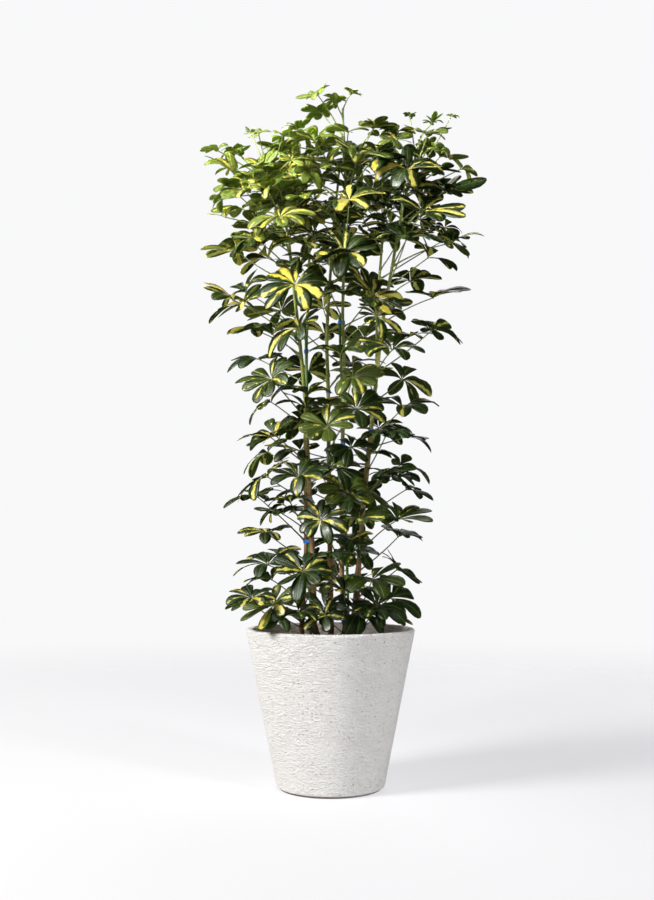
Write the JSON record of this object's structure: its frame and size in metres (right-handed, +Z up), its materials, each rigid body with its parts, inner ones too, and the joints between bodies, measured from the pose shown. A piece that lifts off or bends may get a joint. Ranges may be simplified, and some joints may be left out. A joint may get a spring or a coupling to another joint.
{
  "type": "potted umbrella plant",
  "caption": "Tall leafy umbrella plant with whorled leaflets on tied, staked stems, standing in soil in a round tapered rough-cast planter; decorates a floor.",
  "frame": {"origin": "centre of the planter's flat underside, on the surface it stands on", "axes": "+Z up, along the plant's height; -Y towards the front that the picture shows; +X to its right"},
  "size_m": [0.655, 0.5051, 1.6063],
  "materials": {
    "planter": "off-white rough-cast cement with fine combed strokes and pits",
    "soil": "dark loose potting mix with bark",
    "plant": "glossy dark green leaflets marked with yellow, on brown to green stems",
    "stake": "green plastic coating",
    "tie": "blue flexible plastic band"
  },
  "bodies": {
    "root": {"planter": "planter", "soil": "soil", "stake_left": "stake", "stake_centre": "stake", "stake_right": "stake", "stake_back": "stake", "stem_left_front": "plant", "stem_left_back": "plant", "stem_centre": "plant", "stem_back": "plant", "stem_right_front": "plant", "stem_right_back": "plant", "tie_left_front_1": "tie", "tie_left_front_2": "tie", "tie_left_front_3": "tie", "tie_left_back_1": "tie", "tie_left_back_2": "tie", "tie_centre_1": "tie", "tie_centre_2": "tie", "tie_centre_3": "tie", "tie_centre_4": "tie", "tie_back_1": "tie", "tie_back_2": "tie", "tie_right_front_1": "tie", "tie_right_front_2": "tie", "tie_right_front_3": "tie", "tie_right_back_1": "tie", "tie_right_back_2": "tie"}
  },
  "joints": []
}
